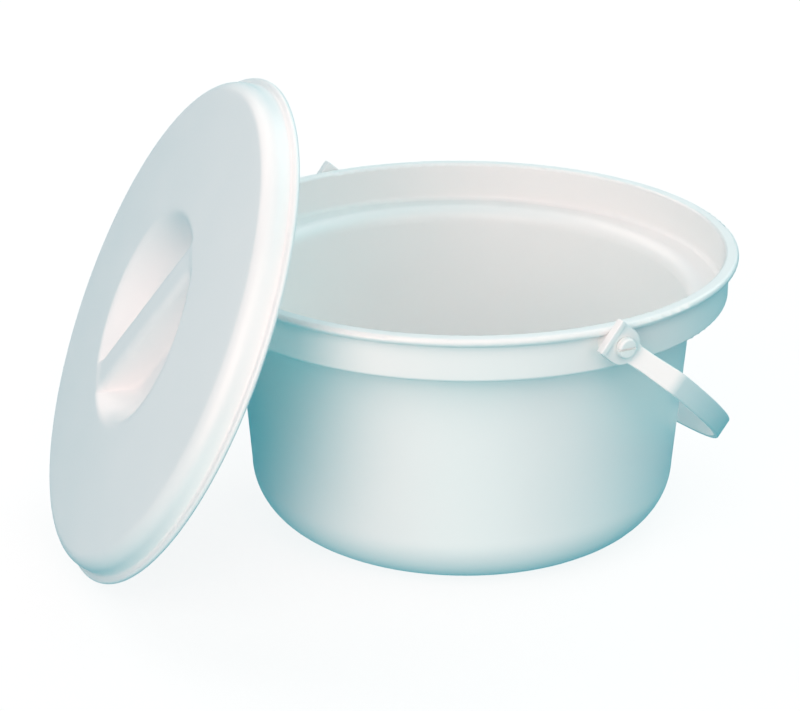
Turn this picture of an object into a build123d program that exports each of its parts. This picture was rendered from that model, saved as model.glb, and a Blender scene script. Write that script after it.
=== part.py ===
from build123d import *
import math
import os

# Round commode pan with a loose grip lid and a swinging bail handle.
# Millimetres. Z is up and the floor is Z = 0. The origin is the centre of
# the pan's flat base, and X runs through the two pivots of the bail.
# The lid is off the pan: it stands on the floor and leans on the rim.

WALL = 2.8                 # moulded wall of the pan
CUT_CLEAR = 5.0            # how far a cutting shape runs past what it cuts

# Pan: a tapered bowl under a wider collar that ends in a rounded lip.
PAN_HEIGHT = 158.0
LIP_RADIUS = 150.0
LIP_THICKNESS = 4.4
LIP_ROUND = 2.1
COLLAR_RADIUS = 145.0
COLLAR_CORNER = 2.4
SHOULDER_Z = 132.9         # underside of the step between collar and bowl
BOWL_TOP_RADIUS = 126.3
BOWL_FOOT_RADIUS = 118.7
BOWL_FOOT_Z = 33.0
BASE_CORNER = 32.9
SHOULDER_BEND = 6.0        # outside radius where the step turns down
LEDGE_CORNER = 3.0         # inside, where the ledge meets the collar
MOUTH_ROUND = 1.6          # inside edge of the lip

# Pivots: a round boss on each side of the collar takes a slotted screw.
PIVOT_Z = 148.0
BOSS_RADIUS = 9.5
BOSS_FACE_X = 150.6
SCREW_HOLE_RADIUS = 3.0
SCREW_HOLE_DEPTH = 6.8
SCREW_SHANK_RADIUS = 2.98
SCREW_HEAD_RADIUS = 5.3
SCREW_HEAD_HEIGHT = 3.6
SCREW_HEAD_ROUND = 1.2
SCREW_SLOT_WIDTH = 1.4
SCREW_SLOT_DEPTH = 1.5
SCREW_PLAY = 0.3           # free gap between the head and the end plate
SCREW_TIP_GAP = 0.4        # free gap at the bottom of the screw's hole

# Bail: one flat strap bent into a hoop, with a pierced plate at each end.
STRAP_THICKNESS = 3.0
STRAP_WIDTH = 12.0
HOOP_RADIUS = 170.0        # outside of the hoop, about the pivot line
PLATE_X = 151.0            # inner face of the end plates
PLATE_WIDTH = 19.8
PLATE_TAIL = 11.4          # from the pivot back to the end of the stop bar
STOP_BAR_WIDTH = 3.4
STOP_BAR_RISE = 1.6
LEG_START = 9.0            # where the leg starts to flare out
LEG_FLARE = 30.0           # degrees
LEG_LENGTH = 24.0          # along the reach, up to the crease
LEG_WIDTH = 9.6
THROAT_ROUND = 5.0         # where the plate's eye runs into the leg
CREASE_ROUND = 7.0
PIVOT_HOLE_RADIUS = 3.05
BAIL_DROP = 40.0           # degrees that the bail hangs below level

# Lid: a shallow domed cap on a thin flange, with a sunk grip.
LID_FLANGE_RADIUS = 140.4
LID_FLANGE_THICKNESS = 3.0
LID_FLANGE_ROUND = 1.4
LID_SIDE_RADIUS = 136.4
LID_SIDE_DRAFT = 0.6
LID_EDGE_Z = 15.7
LID_TOP_Z = 20.7
LID_EDGE_ROUND = 9.0
LID_WALL = 2.4
POCKET_RADIUS = 59.0
POCKET_FLOOR_RADIUS = 41.0
POCKET_DEPTH = 16.5
POCKET_TOP_Z = 19.7
POCKET_EDGE_ROUND = 1.6
POCKET_FLOOR_ROUND = 14.0
BAR_TOP_HALF_WIDTH = 9.6
BAR_FOOT_HALF_WIDTH = 15.0
BAR_FOOT_DEPTH = 18.5      # where the foot's width is taken, under the pocket's floor
BAR_TOP_ROUND = 5.5
BAR_ANGLE = 56.6           # degrees from the lid's level line

# Where the lid leans.
LEAN_BEARING = 257.3       # degrees, the way the lid's outside faces
LEAN_TILT = 25.0           # degrees that its face looks up
LEAN_SIDEWAYS = 5.4        # how far its centre is off the bearing line
LEAN_GAP = 0.3             # free gap between the lid and the pan's lip


def revolved(points, rounds):
    """Turns an (r, z) outline about Z, after rounding the listed corners."""
    outline = make_face(Polyline(*points, close=True))
    for (r, z), radius in rounds:
        corner = outline.vertices().sort_by_distance((r, z))[0]
        outline = fillet(corner, radius)
    return revolve(Plane.YZ * outline, Axis.Z)


def pan_outside():
    lip_under = PAN_HEIGHT - LIP_THICKNESS
    points = [
        (0, 0),
        (BOWL_FOOT_RADIUS, 0),
        (BOWL_FOOT_RADIUS, BOWL_FOOT_Z),
        (BOWL_TOP_RADIUS, SHOULDER_Z),
        (COLLAR_RADIUS, SHOULDER_Z),
        (COLLAR_RADIUS, lip_under),
        (LIP_RADIUS, lip_under),
        (LIP_RADIUS, PAN_HEIGHT),
        (0, PAN_HEIGHT),
    ]
    rounds = [
        ((BOWL_FOOT_RADIUS, 0), BASE_CORNER),
        ((BOWL_TOP_RADIUS, SHOULDER_Z), SHOULDER_BEND),
        ((COLLAR_RADIUS, SHOULDER_Z), COLLAR_CORNER),
        ((LIP_RADIUS, lip_under), LIP_ROUND),
        ((LIP_RADIUS, PAN_HEIGHT), LIP_ROUND),
    ]
    return revolved(points, rounds)


def pan_inside():
    mouth = COLLAR_RADIUS - WALL
    ledge_z = SHOULDER_Z + WALL
    above = PAN_HEIGHT + CUT_CLEAR
    points = [
        (0, WALL),
        (BOWL_FOOT_RADIUS - WALL, WALL),
        (BOWL_FOOT_RADIUS - WALL, BOWL_FOOT_Z),
        (BOWL_TOP_RADIUS - WALL, ledge_z),
        (mouth, ledge_z),
        (mouth, PAN_HEIGHT),
        (mouth + CUT_CLEAR, PAN_HEIGHT),
        (mouth + CUT_CLEAR, above),
        (0, above),
    ]
    rounds = [
        ((BOWL_FOOT_RADIUS - WALL, WALL), BASE_CORNER - WALL),
        ((BOWL_TOP_RADIUS - WALL, ledge_z), SHOULDER_BEND + WALL),
        ((mouth, ledge_z), LEDGE_CORNER),
        ((mouth, PAN_HEIGHT), MOUTH_ROUND),
    ]
    return revolved(points, rounds)


def side_cylinder(side, radius, x_from, x_to):
    """A cylinder on the pivot line, on the side given by +1 or -1."""
    middle = Location((side * (x_from + x_to) / 2, 0, PIVOT_Z), (0, 90, 0))
    return middle * Cylinder(radius, abs(x_to - x_from))


def pan():
    body = pan_outside()
    for side in (1, -1):
        body += side_cylinder(side, BOSS_RADIUS, COLLAR_RADIUS - CUT_CLEAR, BOSS_FACE_X)
    body -= pan_inside()
    for side in (1, -1):
        hole_end = BOSS_FACE_X - SCREW_HOLE_DEPTH
        body -= side_cylinder(side, SCREW_HOLE_RADIUS, hole_end, BOSS_FACE_X + CUT_CLEAR)
    return body


def pivot_screw(side):
    """A slotted cheese-head screw that holds one end plate on its boss."""
    seat_x = PLATE_X + STRAP_THICKNESS + SCREW_PLAY
    tip_x = BOSS_FACE_X - SCREW_HOLE_DEPTH + SCREW_TIP_GAP
    head_x = seat_x + SCREW_HEAD_HEIGHT
    head = side_cylinder(side, SCREW_HEAD_RADIUS, seat_x, head_x)
    rim = head.edges().sort_by(Axis.X)[-1 if side > 0 else 0]
    head = fillet(rim, SCREW_HEAD_ROUND)
    slot = Box(2 * SCREW_SLOT_DEPTH, 3 * SCREW_HEAD_RADIUS, SCREW_SLOT_WIDTH)
    head -= Location((side * head_x, 0, PIVOT_Z)) * slot
    return head + side_cylinder(side, SCREW_SHANK_RADIUS, tip_x, seat_x + SCREW_HEAD_HEIGHT / 2)


def strap_plan():
    """Plan of the bail: the strap's edge line, X across and Y along its reach."""
    plate_out = PLATE_X + STRAP_THICKNESS
    flare = math.radians(LEG_FLARE)
    half = plate_out * math.sin(flare) + LEG_START * math.cos(flare)
    leg = -half + math.sqrt(half ** 2 + HOOP_RADIUS ** 2 - plate_out ** 2 - LEG_START ** 2)
    knee_x = plate_out + leg * math.sin(flare)
    knee_y = LEG_START + leg * math.cos(flare)
    back = -PLATE_TAIL - CUT_CLEAR
    outer = Polyline(
        (-knee_x, knee_y), (-plate_out, LEG_START), (-plate_out, back),
        (plate_out, back), (plate_out, LEG_START), (knee_x, knee_y),
    )
    hoop = ThreePointArc((knee_x, knee_y), (0, HOOP_RADIUS), (-knee_x, knee_y))
    area = make_face(Curve() + [outer, hoop])
    for x in (-1, 1):
        knee = area.vertices().sort_by_distance((x * knee_x, knee_y))[0]
        area = fillet(knee, CREASE_ROUND + STRAP_THICKNESS)
    for x in (-1, 1):
        bend = area.vertices().sort_by_distance((x * plate_out, LEG_START))[0]
        area = fillet(bend, CREASE_ROUND)
    inside = offset(area, -STRAP_THICKNESS)
    open_back = Pos(0, back) * Rectangle(2 * PLATE_X, 4 * STRAP_THICKNESS)
    return area - inside - open_back


def strap_side():
    """Side view of the bail: its width along its reach, from plate to hoop."""
    plate = Pos(-PLATE_TAIL / 2, 0) * Rectangle(PLATE_TAIL, PLATE_WIDTH)
    eye = Circle(PLATE_WIDTH / 2)
    knee_y = LEG_START + LEG_LENGTH
    end = HOOP_RADIUS + CUT_CLEAR
    narrow = LEG_WIDTH / 2
    wide = STRAP_WIDTH / 2
    leg = make_face(Polyline(
        (0, -narrow), (knee_y, -wide), (end, -wide),
        (end, wide), (knee_y, wide), (0, narrow), close=True,
    ))
    shape = plate + eye + leg
    throats = shape.vertices().filter_by(lambda v: PLATE_WIDTH / 4 < v.X < LEG_START)
    return fillet(throats, THROAT_ROUND)


def stop_bar(side):
    """The raised bar across the tail of one end plate."""
    bar_x = PLATE_X + STRAP_THICKNESS + (STOP_BAR_RISE - STRAP_THICKNESS) / 2
    bar_y = STOP_BAR_WIDTH / 2 - PLATE_TAIL
    bar = Box(STOP_BAR_RISE + STRAP_THICKNESS, STOP_BAR_WIDTH, PLATE_WIDTH)
    return Pos(side * bar_x, bar_y, 0) * bar


def bail_handle():
    swing = Plane(
        origin=(0, 0, PIVOT_Z), x_dir=(1, 0, 0),
        z_dir=(0, math.sin(math.radians(BAIL_DROP)), math.cos(math.radians(BAIL_DROP))),
    )
    strap = extrude(strap_plan(), PLATE_WIDTH, both=True)
    width = extrude(Plane.YZ * strap_side(), HOOP_RADIUS + CUT_CLEAR, both=True)
    bail = strap & width
    for side in (1, -1):
        bail += stop_bar(side)
        hole = Location((side * PLATE_X, 0, 0), (0, 90, 0))
        bail -= hole * Cylinder(PIVOT_HOLE_RADIUS, 4 * STRAP_THICKNESS)
    return swing * bail


def lid_crown(inset, base):
    side = LID_SIDE_RADIUS - inset
    edge_r = side - LID_SIDE_DRAFT
    edge = (edge_r, LID_EDGE_Z - inset)
    top = (0, LID_TOP_Z - inset)
    sides = Polyline(top, (0, base), (side, base), edge)
    half_way = (edge_r / 2, top[1] - (top[1] - edge[1]) / 4)
    dome = ThreePointArc(edge, half_way, top)
    outline = make_face(Curve() + [sides, dome])
    corner = outline.vertices().sort_by_distance(edge)[0]
    outline = fillet(corner, LID_EDGE_ROUND - inset)
    return revolve(Plane.YZ * outline, Axis.Z)


def grip_pocket(inset):
    floor_z = POCKET_TOP_Z - POCKET_DEPTH - inset
    top_z = POCKET_TOP_Z - inset
    floor_r = POCKET_FLOOR_RADIUS + inset
    mouth_r = POCKET_RADIUS + inset
    above = LID_TOP_Z + CUT_CLEAR
    points = [
        (0, floor_z), (floor_r, floor_z), (mouth_r, top_z),
        (mouth_r + CUT_CLEAR, top_z), (mouth_r + CUT_CLEAR, above), (0, above),
    ]
    rounds = [
        ((floor_r, floor_z), POCKET_FLOOR_ROUND),
        ((mouth_r, top_z), POCKET_EDGE_ROUND + inset),
    ]
    return revolved(points, rounds)


def grip_bar(inset):
    foot_z = POCKET_TOP_Z - BAR_FOOT_DEPTH - inset
    top_z = POCKET_TOP_Z - inset
    top = BAR_TOP_HALF_WIDTH - inset
    foot = BAR_FOOT_HALF_WIDTH - inset
    section = make_face(Polyline(
        (-foot, foot_z), (foot, foot_z), (top, top_z), (-top, top_z), close=True,
    ))
    shoulders = section.vertices().filter_by(lambda v: v.Y > foot_z + CUT_CLEAR)
    section = fillet(shoulders, BAR_TOP_ROUND - inset)
    return extrude(Plane.YZ * section, POCKET_RADIUS + 2 * CUT_CLEAR, both=True)


def lid_form(inset, base):
    """The lid's upper surface as a solid, moved inwards by inset."""
    return lid_crown(inset, base) - (grip_pocket(inset) - grip_bar(inset))


def lid_flange():
    inner = LID_SIDE_RADIUS - LID_WALL
    points = [
        (inner, 0), (LID_FLANGE_RADIUS, 0),
        (LID_FLANGE_RADIUS, LID_FLANGE_THICKNESS), (inner, LID_FLANGE_THICKNESS),
    ]
    rounds = [
        ((LID_FLANGE_RADIUS, 0), LID_FLANGE_ROUND),
        ((LID_FLANGE_RADIUS, LID_FLANGE_THICKNESS), LID_FLANGE_ROUND),
    ]
    return revolved(points, rounds)


def leaning_plane():
    """Where the lid's underside lies: on the floor below, on the lip above."""
    tilt = math.radians(LEAN_TILT)
    bearing = math.radians(LEAN_BEARING)
    out = Vector(math.cos(bearing), math.sin(bearing), 0)
    level = Vector(-math.sin(bearing), math.cos(bearing), 0)
    normal = out * math.cos(tilt) + Vector(0, 0, math.sin(tilt))
    uphill = normal.cross(level)
    edge_round = LID_FLANGE_ROUND
    height = (LID_FLANGE_RADIUS - edge_round) * math.cos(tilt) + edge_round
    height -= edge_round * math.sin(tilt)
    touch_z = POCKET_TOP_Z - POCKET_DEPTH - LID_WALL
    lip_r = LIP_RADIUS - LIP_ROUND
    lip_z = PAN_HEIGHT - LIP_ROUND
    reach = lip_r * math.cos(tilt) + (lip_z - height) * math.sin(tilt)
    reach += LIP_ROUND + LEAN_GAP - touch_z
    centre = out * (reach / math.cos(tilt)) + level * LEAN_SIDEWAYS + Vector(0, 0, height)
    bar = math.radians(BAR_ANGLE)
    bar_line = level * math.cos(bar) + uphill * math.sin(bar)
    return Plane(origin=centre, x_dir=bar_line, z_dir=normal)


def lid():
    shell = lid_form(0, 0) - lid_form(LID_WALL, -CUT_CLEAR)
    return leaning_plane() * (shell + lid_flange())


def main():
    os.makedirs("parts", exist_ok=True)
    nodes = {
        "pan": pan(),
        "bail_handle": bail_handle(),
        "pivot_screw_right": pivot_screw(1),
        "pivot_screw_left": pivot_screw(-1),
        "lid": lid(),
    }
    for name, shape in nodes.items():
        export_step(shape, f"parts/{name}.step")


main()
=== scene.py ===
import math

import bmesh
import bpy
from mathutils import Matrix, Vector


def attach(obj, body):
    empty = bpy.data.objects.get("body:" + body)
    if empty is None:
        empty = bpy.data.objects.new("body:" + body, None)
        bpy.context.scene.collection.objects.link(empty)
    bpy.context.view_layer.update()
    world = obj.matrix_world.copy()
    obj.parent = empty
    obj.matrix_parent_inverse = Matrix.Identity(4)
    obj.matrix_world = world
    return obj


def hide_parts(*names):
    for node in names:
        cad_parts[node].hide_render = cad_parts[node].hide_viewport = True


# Looks for the round commode pan, with its lid, its bail handle and its screws.
# The scene is in metres. Z is up, the pan stands at the origin, and X runs
# through the two pivots. Shapes are worked out in millimetres and scaled once.

MM = 0.001

# Camera.
VIEW_AZIMUTH = 60.0        # degrees; 0 looks along +Y and 90 along -X
VIEW_ELEVATION = 21.8
VIEW_DISTANCE = 1.343
VIEW_TARGET = Vector((-0.0175, -0.0303, 0.0900))
LENS = 108.0               # millimetres, on film 36 mm wide
FILM_WIDTH = 36.0

# Studio: a cyan room with soft warm lights from the front, which add up to white.
# Each light has its degrees round from the camera, its height in degrees, its
# strength and its tone. The far side's light is there for views from behind.
LIGHT_SPREAD = 45.0        # degrees across each light
WARM = (1.0, 0.6, 0.52)
PALE = (1.0, 0.78, 0.7)
NEUTRAL = (1.0, 1.0, 1.0)
CYAN = (0.3, 1.0, 0.9)
LIGHTS = {
    "key_low": (-30, 10, 1.4, WARM),
    "key_high": (-30, 40, 1.1, PALE),
    "front_low": (30, 10, 0.5, WARM),
    "front_high": (30, 40, 0.8, WARM),
    "right": (90, 40, 0.4, CYAN),
    "back_right": (135, 40, 0.8, NEUTRAL),
    "back_left": (-135, 40, 0.9, PALE),
    "overhead": (180, 60, 0.4, WARM),
    "table_glow": (0, -35, 0.4, CYAN),
    "far_side": (180, 0, 0.8, PALE),
}
NO_GLINT = ("far_side",)       # lights that leave no highlight
ROOM_COLOR = (0.0, 0.28, 0.36)
FLOOR_RADIUS = 14.0
FLOOR_SIDES = 96
PAPER_SHADE = 0.16         # how much light the floor sheet scatters
PAPER_GLOW = 0.85          # how bright it glows by itself

# Pan rim, which the lid leans on.
PAN_HEIGHT = 158.0
LIP_RADIUS = 150.0
LIP_ROUND = 2.1

# Lid, in its own frame: its flange lies on z = 0, z points out of its face,
# and x runs along the grip bar.
LID_WALL = 2.4
FLANGE_RADIUS = 140.4
FLANGE_THICKNESS = 3.0
FLANGE_ROUND = 1.4
FLANGE_ROOT = 1.3
SIDE_RADIUS = 136.4
SIDE_DRAFT = 0.6
EDGE_Z = 15.7
TOP_Z = 20.7
EDGE_ROUND = 9.0
POCKET_RADIUS = 59.0
POCKET_FLOOR_RADIUS = 41.0
POCKET_DEPTH = 16.5
POCKET_TOP_Z = 19.7
POCKET_FLOOR_ROUND = 14.0
POCKET_MOUTH_BLEND = 1.8
BAR_TOP_HALF_WIDTH = 9.6
BAR_FOOT_HALF_WIDTH = 15.0
BAR_FOOT_DEPTH = 18.5
BAR_TOP_ROUND = 5.5
BAR_ROOT_BLEND = 5.0
PATCH_HALF = 66.0          # half the side of the square mesh patch over the grip
PATCH_CELLS = 96
PATCH_CROWDING = 3.5       # how much closer the lines are on the bar's steep sides
CROWDED_REACH = 3.6        # how far that closeness spreads
FINE_STEPS = 40            # trial places for each line
DOME_STEPS = 12
ARC_STEPS = 10

# Where the lid leans.
LEAN_BEARING = 257.3       # degrees, the way its face looks
LEAN_TILT = 25.0           # degrees that its face looks up
LEAN_SIDEWAYS = 5.4
LEAN_GAP = 0.3
BAR_ANGLE = 56.6           # degrees from the lid's level line

# Bail: a strap bent out of one flat blank, with a pierced plate at each end.
PIVOT_Z = 148.0
BAIL_DROP = 40.0           # degrees that the bail hangs below level
STRAP_THICKNESS = 3.0
STRAP_WIDTH = 12.0
HOOP_RADIUS = 170.0        # outside of the hoop, about the pivot line
PLATE_X = 151.0
PLATE_WIDTH = 19.8
PLATE_TAIL = 11.4
STOP_BAR_WIDTH = 3.4
STOP_BAR_RISE = 1.6
LEG_START = 9.0
LEG_FLARE = 30.0
LEG_LENGTH = 24.0
LEG_WIDTH = 9.6
CREASE_ROUND = 7.0
PIVOT_HOLE_RADIUS = 3.05
STRAP_EDGE_ROUND = 0.7
BAR_PROUD = 0.03           # how far the stop bar stands out past the plate's own edges
NECK_SHARE = 0.85          # of the eye's radius, where the leg leaves it
THROAT_FLARE = 0.9         # how far the leg widens where it leaves the eye
THROAT_REACH = 3.0
BEVEL_STEPS = 3
BEVEL_ANGLE = math.radians(40)
CREASE_ANGLE = math.radians(45)
STRAP_ROWS = 6
EYE_STEPS = 6
EYE_CROWDING = 1.5         # above 1, points crowd towards the neck
PLATE_RINGS = 3
STATION_STEP = 4.0
BEND_STEP = math.radians(4)

# Moulded plastic: noise scales in cycles to the metre, depths in metres.
PLASTIC_IOR = 1.49
NOISE_SPAN = (0.3, 0.7)    # the part of the noise's range that is used
CLOUD_SCALE = 11.0
POLISH_SCALE = 45.0
POLISH_SPREAD = 0.04
RIPPLE_SCALE = 28.0
RIPPLE_DEPTH = 0.00006
SKIN_SCALE = 1400.0
SKIN_DEPTH = 0.000006


# ---------------------------------------------------------------- camera and lights

def outward(azimuth, elevation):
    """Unit vector from the object to a viewer at these angles, in degrees."""
    side = math.radians(azimuth)
    rise = math.radians(elevation)
    level = math.cos(rise)
    return Vector((math.sin(side) * level, -math.cos(side) * level, math.sin(rise)))


def facing(towards):
    """Rotation that points an object's -Z back along a direction."""
    return (-towards).to_track_quat("-Z", "Y").to_euler()


def link(thing):
    bpy.context.scene.collection.objects.link(thing)
    return thing


def add_camera():
    data = bpy.data.cameras.new("camera")
    data.lens = LENS
    data.sensor_width = FILM_WIDTH
    data.clip_end = 4 * FLOOR_RADIUS
    camera = link(bpy.data.objects.new("camera", data))
    towards = outward(VIEW_AZIMUTH, VIEW_ELEVATION)
    camera.location = VIEW_TARGET + towards * VIEW_DISTANCE
    camera.rotation_euler = facing(towards)
    bpy.context.scene.camera = camera
    bpy.context.scene.view_settings.view_transform = "Standard"


def add_lights():
    for name, (turn, height, strength, tone) in LIGHTS.items():
        data = bpy.data.lights.new(name, "SUN")
        data.angle = math.radians(LIGHT_SPREAD)
        data.energy = strength
        data.color = tone
        light = link(bpy.data.objects.new(name, data))
        light.rotation_euler = facing(outward(VIEW_AZIMUTH + turn, height))
        light.visible_glossy = name not in NO_GLINT


def only_for_camera(tree, shown, felt, out):
    """The camera sees one shader, and every other ray meets another."""
    path = tree.nodes.new("ShaderNodeLightPath")
    mix = tree.nodes.new("ShaderNodeMixShader")
    tree.links.new(path.outputs["Is Camera Ray"], mix.inputs[0])
    tree.links.new(felt.outputs[0], mix.inputs[1])
    tree.links.new(shown.outputs[0], mix.inputs[2])
    tree.links.new(mix.outputs[0], out.inputs["Surface"])


def add_room():
    """An even pale room that looks white behind the object."""
    world = bpy.data.worlds.new("room")
    world.use_nodes = True
    bpy.context.scene.world = world
    tree = world.node_tree
    tree.nodes.clear()
    out = tree.nodes.new("ShaderNodeOutputWorld")
    felt = tree.nodes.new("ShaderNodeBackground")
    felt.inputs["Color"].default_value = (*ROOM_COLOR, 1)
    shown = tree.nodes.new("ShaderNodeBackground")
    shown.inputs["Color"].default_value = (1, 1, 1, 1)
    only_for_camera(tree, shown, felt, out)


def add_floor():
    """A white sheet that the lights under it shine through."""
    mesh = bpy.data.meshes.new("floor")
    turns = [math.tau * k / FLOOR_SIDES for k in range(FLOOR_SIDES)]
    rim = [(FLOOR_RADIUS * math.cos(a), FLOOR_RADIUS * math.sin(a), 0.0) for a in turns]
    mesh.from_pydata(rim, [], [list(range(FLOOR_SIDES))])
    floor = link(bpy.data.objects.new("floor", mesh))
    material = bpy.data.materials.new("floor_paper")
    material.use_nodes = True
    tree = material.node_tree
    tree.nodes.clear()
    out = tree.nodes.new("ShaderNodeOutputMaterial")
    paper = tree.nodes.new("ShaderNodeBsdfDiffuse")
    paper.inputs["Color"].default_value = (PAPER_SHADE, PAPER_SHADE, PAPER_SHADE, 1)
    glow = tree.nodes.new("ShaderNodeEmission")
    glow.inputs["Strength"].default_value = PAPER_GLOW
    both = tree.nodes.new("ShaderNodeAddShader")
    tree.links.new(paper.outputs[0], both.inputs[0])
    tree.links.new(glow.outputs[0], both.inputs[1])
    tree.links.new(both.outputs[0], out.inputs["Surface"])
    mesh.materials.append(material)
    floor.visible_diffuse = False
    floor.visible_glossy = False
    floor.visible_shadow = False


# ---------------------------------------------------------------- lid

def soft_min(a, b, reach):
    near = max(reach - abs(a - b), 0.0) / reach
    return min(a, b) - near * near * reach / 4


def soft_max(a, b, reach):
    return -soft_min(-a, -b, reach)


def dome_height(r, inset):
    return TOP_Z - inset - (TOP_Z - EDGE_Z) * (r / (SIDE_RADIUS - SIDE_DRAFT)) ** 2


def ramp(distance, slope, radius):
    """Rise of a line that leaves the level through an arc, at a distance past its corner."""
    start = -radius * math.tan(slope / 2)
    end = start + radius * math.sin(slope)
    if distance <= start:
        return 0.0
    if distance < end:
        return radius - math.sqrt(radius ** 2 - (distance - start) ** 2)
    return distance * math.tan(slope)


def pocket_height(r, inset):
    slope = math.atan2(POCKET_DEPTH, POCKET_RADIUS - POCKET_FLOOR_RADIUS)
    floor = POCKET_TOP_Z - POCKET_DEPTH - inset
    return floor + ramp(r - POCKET_FLOOR_RADIUS - inset, slope, POCKET_FLOOR_ROUND)


def bar_height(y, inset):
    slope = math.atan2(BAR_FOOT_DEPTH, BAR_FOOT_HALF_WIDTH - BAR_TOP_HALF_WIDTH)
    past = abs(y) - BAR_TOP_HALF_WIDTH + inset
    return POCKET_TOP_Z - inset - ramp(past, slope, BAR_TOP_ROUND - inset)


def lid_height(x, y, inset):
    r = math.hypot(x, y)
    hollow = soft_max(pocket_height(r, inset), bar_height(y, inset), BAR_ROOT_BLEND)
    return soft_min(dome_height(r, inset), hollow, POCKET_MOUTH_BLEND)


def patch_lines():
    """Places across the grip, closest together on the bar's steep sides."""
    steep = (BAR_TOP_HALF_WIDTH + BAR_FOOT_HALF_WIDTH) / 2
    fine = FINE_STEPS * PATCH_CELLS
    places = [PATCH_HALF * (2 * k / fine - 1) for k in range(fine + 1)]
    nearness = [math.exp(-(((abs(p) - steep) / CROWDED_REACH) ** 2)) for p in places]
    crowding = [1 + PATCH_CROWDING * n for n in nearness]
    lines = []
    run = 0.0
    for place, weight in zip(places, crowding):
        if run >= sum(crowding) * len(lines) / PATCH_CELLS:
            lines.append(place)
        run += weight
    return lines[:PATCH_CELLS] + [PATCH_HALF]


def arc(centre_r, centre_z, radius, first, last):
    """(r, z) points of an arc between two angles, in degrees."""
    turns = [math.radians(first + (last - first) * k / ARC_STEPS) for k in range(ARC_STEPS + 1)]
    return [(centre_r + radius * math.cos(a), centre_z + radius * math.sin(a)) for a in turns]


def lid_edge(inset):
    """(r, z) points from the dome round the lid's edge, down to where its side starts."""
    radius = EDGE_ROUND - inset
    reach = SIDE_RADIUS - SIDE_DRAFT
    slope = math.atan2(2 * (TOP_Z - EDGE_Z), reach)
    centre_r = reach - inset - radius
    centre_z = dome_height(centre_r + inset, inset) - radius * math.cos(slope)
    return arc(centre_r, centre_z, radius, 90 - math.degrees(slope), 0)


def lid_flange():
    """(r, z) points out over the flange, round its edge and back underneath."""
    top = FLANGE_THICKNESS
    root = arc(SIDE_RADIUS + FLANGE_ROOT, top + FLANGE_ROOT, FLANGE_ROOT, 180, 270)
    outer = FLANGE_RADIUS - FLANGE_ROUND
    upper = arc(outer, top - FLANGE_ROUND, FLANGE_ROUND, 90, 0)
    lower = arc(outer, FLANGE_ROUND, FLANGE_ROUND, 0, -90)
    return root + upper + lower + [(SIDE_RADIUS, 0.0), (SIDE_RADIUS - LID_WALL, 0.0)]


def lid_surface(mesh, inset):
    """One face of the lid's middle: the grip patch and the dome round it. Returns its outer loop."""
    lines = patch_lines()
    cells = PATCH_CELLS
    steps = [PATCH_HALF * (2 * k / cells - 1) for k in range(cells + 1)]
    grid = [[mesh.verts.new((x, y, lid_height(x, y, inset))) for y in lines] for x in steps]
    for i in range(cells):
        for j in range(cells):
            mesh.faces.new((grid[i][j], grid[i + 1][j], grid[i + 1][j + 1], grid[i][j + 1]))
    loop = [grid[i][0] for i in range(cells)]
    loop += [grid[cells][j] for j in range(cells)]
    loop += [grid[cells - i][cells] for i in range(cells)]
    loop += [grid[0][cells - j] for j in range(cells)]
    square = [v.co.xy for v in loop]
    reach = lid_edge(inset)[0][0]
    for k in range(1, DOME_STEPS + 1):
        ring = []
        for place in square:
            r = place.length + (reach - place.length) * k / DOME_STEPS
            x, y = place.normalized() * r
            ring.append(mesh.verts.new((x, y, dome_height(r, inset))))
        bridge(mesh, loop, ring)
        loop = ring
    return loop


def bridge(mesh, inner, outer):
    count = len(inner)
    for k in range(count):
        after = (k + 1) % count
        mesh.faces.new((inner[k], outer[k], outer[after], inner[after]))


def lid_mesh():
    mesh = bmesh.new()
    face = lid_surface(mesh, 0.0)
    under = lid_surface(mesh, LID_WALL)
    spokes = [v.co.xy.normalized() for v in face]
    inside = lid_edge(LID_WALL)[1:]
    outline = lid_edge(0.0)[1:] + lid_flange() + list(reversed(inside))
    loop = face
    for r, z in outline:
        ring = [mesh.verts.new((s.x * r, s.y * r, z)) for s in spokes]
        bridge(mesh, loop, ring)
        loop = ring
    bridge(mesh, loop, under)
    bmesh.ops.recalc_face_normals(mesh, faces=mesh.faces)
    return mesh


def leaning_place():
    """Where the lid's underside lies: on the floor below, against the lip above."""
    tilt = math.radians(LEAN_TILT)
    bearing = math.radians(LEAN_BEARING)
    out = Vector((math.cos(bearing), math.sin(bearing), 0))
    level = Vector((-math.sin(bearing), math.cos(bearing), 0))
    normal = out * math.cos(tilt) + Vector((0, 0, math.sin(tilt)))
    uphill = normal.cross(level)
    height = (FLANGE_RADIUS - FLANGE_ROUND) * math.cos(tilt) + FLANGE_ROUND * (1 - math.sin(tilt))
    touch = POCKET_TOP_Z - POCKET_DEPTH - LID_WALL
    reach = (LIP_RADIUS - LIP_ROUND) * math.cos(tilt) + LIP_ROUND + LEAN_GAP - touch
    reach += (PAN_HEIGHT - LIP_ROUND - height) * math.sin(tilt)
    centre = out * (reach / math.cos(tilt)) + level * LEAN_SIDEWAYS + Vector((0, 0, height))
    bar = math.radians(BAR_ANGLE)
    along = level * math.cos(bar) + uphill * math.sin(bar)
    across = normal.cross(along)
    axes = Matrix((along, across, normal)).transposed().to_4x4()
    return Matrix.Scale(MM, 4) @ Matrix.Translation(centre) @ axes


def finished(mesh, name, place):
    """Turns a bmesh in millimetres into a smooth object in its place, in metres."""
    mesh.transform(place)
    data = bpy.data.meshes.new(name)
    mesh.to_mesh(data)
    mesh.free()
    for polygon in data.polygons:
        polygon.use_smooth = True
    return link(bpy.data.objects.new(name, data))


def add_lid():
    lid = finished(lid_mesh(), "lid_shell", leaning_place())
    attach(lid, "loose_lid")
    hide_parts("lid")
    return lid


# ---------------------------------------------------------------- bail

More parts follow.
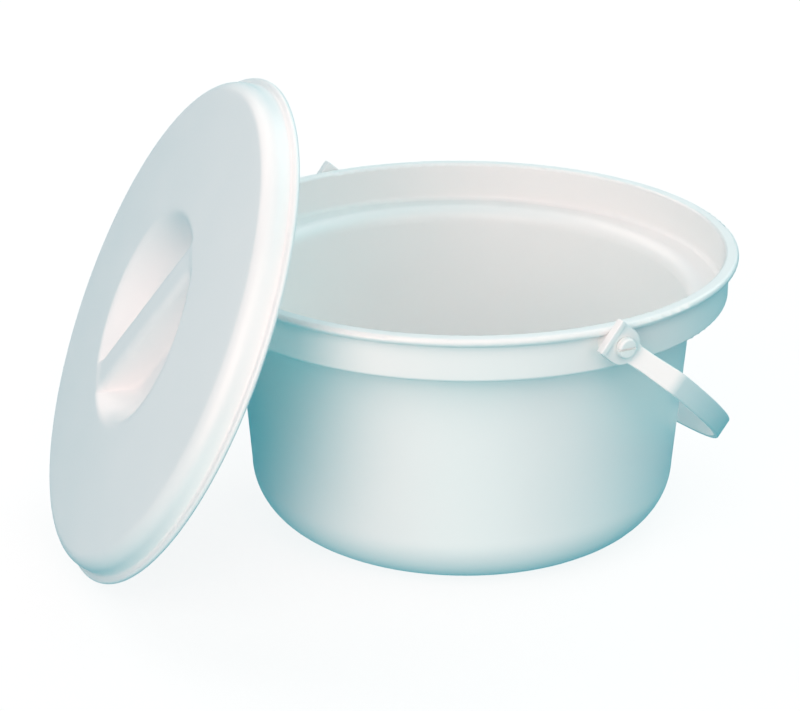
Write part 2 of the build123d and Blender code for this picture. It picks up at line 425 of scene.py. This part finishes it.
def strap_route():
    """The strap's outer face in plan, from its tail to the middle of the hoop.

    Each piece is (length, turn in radians); a turn above zero bends away from the pan.
    """
    flare = math.radians(LEG_FLARE)
    along = Vector((math.sin(flare), math.cos(flare)))
    inward = Vector((-math.cos(flare), math.sin(flare)))
    knee = CREASE_ROUND + STRAP_THICKNESS
    base = Vector((PLATE_X + STRAP_THICKNESS, LEG_START)) + inward * knee
    ahead = base.dot(along)
    leg = -ahead + math.sqrt(ahead ** 2 + (HOOP_RADIUS - knee) ** 2 - base.length_squared)
    centre = base + along * leg
    bearing = math.atan2(centre.y, centre.x)
    bend = CREASE_ROUND * math.tan(flare / 2)
    return [
        (PLATE_TAIL + LEG_START - bend, 0.0),
        (CREASE_ROUND * flare, flare),
        (leg - bend, 0.0),
        (knee * (flare + bearing), -(flare + bearing)),
        (HOOP_RADIUS * (math.pi / 2 - bearing), bearing - math.pi / 2),
    ]


def along_route(route, distance):
    """Plan place and heading at a distance past the pivot."""
    x = PLATE_X + STRAP_THICKNESS
    y = -PLATE_TAIL
    heading = 0.0
    left = distance + PLATE_TAIL
    for length, turn in route:
        part = min(left, length)
        bend = turn * part / length
        chord = 2 * part / bend * math.sin(bend / 2) if bend else part
        x += chord * math.sin(heading + bend / 2)
        y += chord * math.cos(heading + bend / 2)
        heading += bend
        left -= part
    return x, y, heading


def strap_half_width(distance):
    """Half the strap's width: a round-ended plate that narrows into the leg."""
    eye = PLATE_WIDTH / 2
    if distance <= 0:
        return eye
    share = min(distance / (LEG_START + LEG_LENGTH), 1.0)
    leg = (LEG_WIDTH + (STRAP_WIDTH - LEG_WIDTH) * share) / 2
    leg += THROAT_FLARE * math.exp(-max(distance - eye * NECK_SHARE, 0.0) / THROAT_REACH)
    return max(leg, math.sqrt(max(eye ** 2 - distance ** 2, 0.0)))


def strap_stations(route, first):
    """Distances along the strap, close together where it bends."""
    stations = [first]
    reached = -PLATE_TAIL
    for length, turn in route:
        count = math.ceil(max(length / STATION_STEP, abs(turn) / BEND_STEP))
        places = [reached + length * k / count for k in range(1, count + 1)]
        stations += [p for p in places if p > first + STATION_STEP / 8]
        reached += length
    return stations


def plate_outline(neck):
    """(s, n) points round the end plate, from one side of its neck to the other."""
    eye = PLATE_WIDTH / 2
    along = [neck * (1 - (k / EYE_STEPS) ** EYE_CROWDING) for k in range(1, EYE_STEPS + 1)]
    along += [-PLATE_TAIL * k / EYE_STEPS for k in range(1, EYE_STEPS + 1)]
    side = [(s, strap_half_width(s)) for s in along]
    tail = [(-PLATE_TAIL, eye * (1 - k / EYE_STEPS)) for k in range(1, 2 * EYE_STEPS)]
    return side + tail + [(s, -n) for s, n in reversed(side)]


def bail_blank(route):
    """Half of the flat blank as (s, n) points and faces, with the pivot's hole."""
    neck = PLATE_WIDTH / 2 * NECK_SHARE
    points = []
    faces = []
    rows = []
    for s in strap_stations(route, neck):
        half = strap_half_width(s)
        rows.append(range(len(points), len(points) + STRAP_ROWS + 1))
        points += [(s, half * (2 * k / STRAP_ROWS - 1)) for k in range(STRAP_ROWS + 1)]
    for near, far in zip(rows, rows[1:]):
        faces += [(near[k], far[k], far[k + 1], near[k + 1]) for k in range(STRAP_ROWS)]
    outline = plate_outline(neck)
    loop = list(rows[0]) + list(range(len(points), len(points) + len(outline)))
    points += outline
    edge = [points[k] for k in loop]
    for ring in range(1, PLATE_RINGS + 1):
        inner = range(len(points), len(points) + len(edge))
        for s, n in edge:
            reach = math.hypot(s, n)
            keep = 1 + (PIVOT_HOLE_RADIUS / reach - 1) * ring / PLATE_RINGS
            points.append((s * keep, n * keep))
        for k in range(len(edge)):
            after = (k + 1) % len(edge)
            faces.append((loop[k], loop[after], inner[after], inner[k]))
        loop = inner
    return points, faces


def strap_mesh():
    """The whole bail, bent to shape from its blank, lying level in millimetres."""
    route = strap_route()
    points, faces = bail_blank(route)
    mesh = bmesh.new()
    layers = []
    for depth in (0.0, STRAP_THICKNESS):
        layer = []
        for s, n in points:
            x, y, heading = along_route(route, s)
            place = (x - depth * math.cos(heading), y + depth * math.sin(heading), n)
            layer.append(mesh.verts.new(place))
        layers.append(layer)
        for face in faces:
            mesh.faces.new([layer[k] for k in face])
    partner = dict(zip(*layers))
    rims = [e for e in mesh.edges if e.is_boundary and e.verts[0] in partner]
    for rim in rims:
        a, b = rim.verts
        if max(abs(a.co.x), abs(b.co.x)) > STATION_STEP / 8:
            mesh.faces.new((a, b, partner[b], partner[a]))
    half = mesh.verts[:] + mesh.edges[:] + mesh.faces[:]
    twin = bmesh.ops.duplicate(mesh, geom=half)["geom"]
    for v in twin:
        if isinstance(v, bmesh.types.BMVert):
            v.co.x = -v.co.x
    bmesh.ops.remove_doubles(mesh, verts=mesh.verts, dist=STATION_STEP / 100)
    bmesh.ops.recalc_face_normals(mesh, faces=mesh.faces)
    return mesh


def stop_bars_mesh():
    """A block through each end plate's tail, which stands up as its stop bar."""
    mesh = bmesh.new()
    depth = STRAP_THICKNESS + STOP_BAR_RISE + BAR_PROUD
    along = STOP_BAR_WIDTH + BAR_PROUD
    across = PLATE_WIDTH + 2 * BAR_PROUD
    for side in (1, -1):
        middle = (side * (PLATE_X - BAR_PROUD + depth / 2), along / 2 - BAR_PROUD - PLATE_TAIL, 0)
        place = Matrix.Translation(middle) @ Matrix.Diagonal((depth, along, across, 1))
        bmesh.ops.create_cube(mesh, size=1.0, matrix=place)
    return mesh


def swing_place():
    """Where the bail hangs, from a level one in millimetres."""
    turn = Matrix.Rotation(-math.radians(BAIL_DROP), 4, "X")
    return Matrix.Scale(MM, 4) @ Matrix.Translation((0, 0, PIVOT_Z)) @ turn


def round_edges(thing):
    bevel = thing.modifiers.new("round_edges", "BEVEL")
    bevel.width = STRAP_EDGE_ROUND * MM
    bevel.segments = BEVEL_STEPS
    bevel.limit_method = "ANGLE"
    bevel.angle_limit = BEVEL_ANGLE
    bevel.use_clamp_overlap = False


def settle(thing):
    """Makes a piece's modifiers permanent."""
    graph = bpy.context.evaluated_depsgraph_get()
    shaped = bpy.data.meshes.new_from_object(thing.evaluated_get(graph))
    thing.modifiers.clear()
    thing.data = shaped


def add_bail():
    strap = finished(strap_mesh(), "bail_strap", swing_place())
    bars = finished(stop_bars_mesh(), "stop_bars", swing_place())
    round_edges(strap)
    round_edges(bars)
    join = strap.modifiers.new("join", "BOOLEAN")
    join.operation = "UNION"
    join.solver = "EXACT"
    join.object = bars
    settle(strap)
    bpy.data.objects.remove(bars)
    strap.data.set_sharp_from_angle(angle=CREASE_ANGLE)
    strap.modifiers.new("flat_faces", "WEIGHTED_NORMAL").keep_sharp = True
    settle(strap)
    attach(strap, "bail")
    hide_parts("bail_handle")
    return strap


# ---------------------------------------------------------------- materials

def noise(tree, place, scale, detail):
    texture = tree.nodes.new("ShaderNodeTexNoise")
    texture.inputs["Scale"].default_value = scale
    texture.inputs["Detail"].default_value = detail
    tree.links.new(place, texture.inputs["Vector"])
    return texture.outputs["Fac"]


def moulded_plastic(name, pale, shade, gloss):
    """Satin moulded plastic: cloudy colour, uneven gloss, slow ripples and a fine skin."""
    material = bpy.data.materials.new(name)
    material.use_nodes = True
    tree = material.node_tree
    surface = tree.nodes["Principled BSDF"]
    surface.inputs["IOR"].default_value = PLASTIC_IOR
    place = tree.nodes.new("ShaderNodeTexCoord").outputs["Object"]

    tint = tree.nodes.new("ShaderNodeValToRGB")
    for stop, position, color in zip(tint.color_ramp.elements, NOISE_SPAN, (shade, pale)):
        stop.position = position
        stop.color = (*color, 1)
    tree.links.new(noise(tree, place, CLOUD_SCALE, 3.0), tint.inputs[0])
    tree.links.new(tint.outputs["Color"], surface.inputs["Base Color"])

    polish = tree.nodes.new("ShaderNodeMapRange")
    polish.inputs["From Min"].default_value = NOISE_SPAN[0]
    polish.inputs["From Max"].default_value = NOISE_SPAN[1]
    polish.inputs["To Min"].default_value = gloss - POLISH_SPREAD
    polish.inputs["To Max"].default_value = gloss + POLISH_SPREAD
    tree.links.new(noise(tree, place, POLISH_SCALE, 4.0), polish.inputs["Value"])
    tree.links.new(polish.outputs["Result"], surface.inputs["Roughness"])

    ripple = tree.nodes.new("ShaderNodeBump")
    ripple.inputs["Distance"].default_value = RIPPLE_DEPTH
    tree.links.new(noise(tree, place, RIPPLE_SCALE, 1.0), ripple.inputs["Height"])
    skin = tree.nodes.new("ShaderNodeBump")
    skin.inputs["Distance"].default_value = SKIN_DEPTH
    tree.links.new(noise(tree, place, SKIN_SCALE, 1.0), skin.inputs["Height"])
    tree.links.new(ripple.outputs["Normal"], skin.inputs["Normal"])
    tree.links.new(skin.outputs["Normal"], surface.inputs["Normal"])
    return material


def dress(thing, material):
    """Puts one material on the whole of a piece or a CAD node."""
    thing.data.materials.clear()
    thing.data.materials.append(material)


# ---------------------------------------------------------------- the scene

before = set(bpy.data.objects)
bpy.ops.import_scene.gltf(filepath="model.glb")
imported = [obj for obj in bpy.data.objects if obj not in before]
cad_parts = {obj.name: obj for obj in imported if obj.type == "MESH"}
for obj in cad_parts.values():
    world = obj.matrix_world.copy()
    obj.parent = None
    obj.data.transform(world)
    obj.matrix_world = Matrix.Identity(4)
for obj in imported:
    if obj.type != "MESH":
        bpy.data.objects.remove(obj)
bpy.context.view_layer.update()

add_camera()
add_lights()
add_room()
add_floor()

white = moulded_plastic("white_plastic", (0.87, 0.875, 0.87), (0.85, 0.86, 0.855), 0.36)
lid_white = moulded_plastic("lid_plastic", (0.87, 0.88, 0.88), (0.85, 0.865, 0.865), 0.34)
strap_white = moulded_plastic("handle_plastic", (0.88, 0.88, 0.88), (0.86, 0.865, 0.86), 0.36)
screw_white = moulded_plastic("screw_plastic", (0.89, 0.89, 0.88), (0.87, 0.87, 0.86), 0.33)
dress(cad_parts["pan"], white)
dress(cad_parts["bail_handle"], strap_white)
dress(add_bail(), strap_white)
dress(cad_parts["pivot_screw_right"], screw_white)
dress(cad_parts["pivot_screw_left"], screw_white)
dress(add_lid(), lid_white)
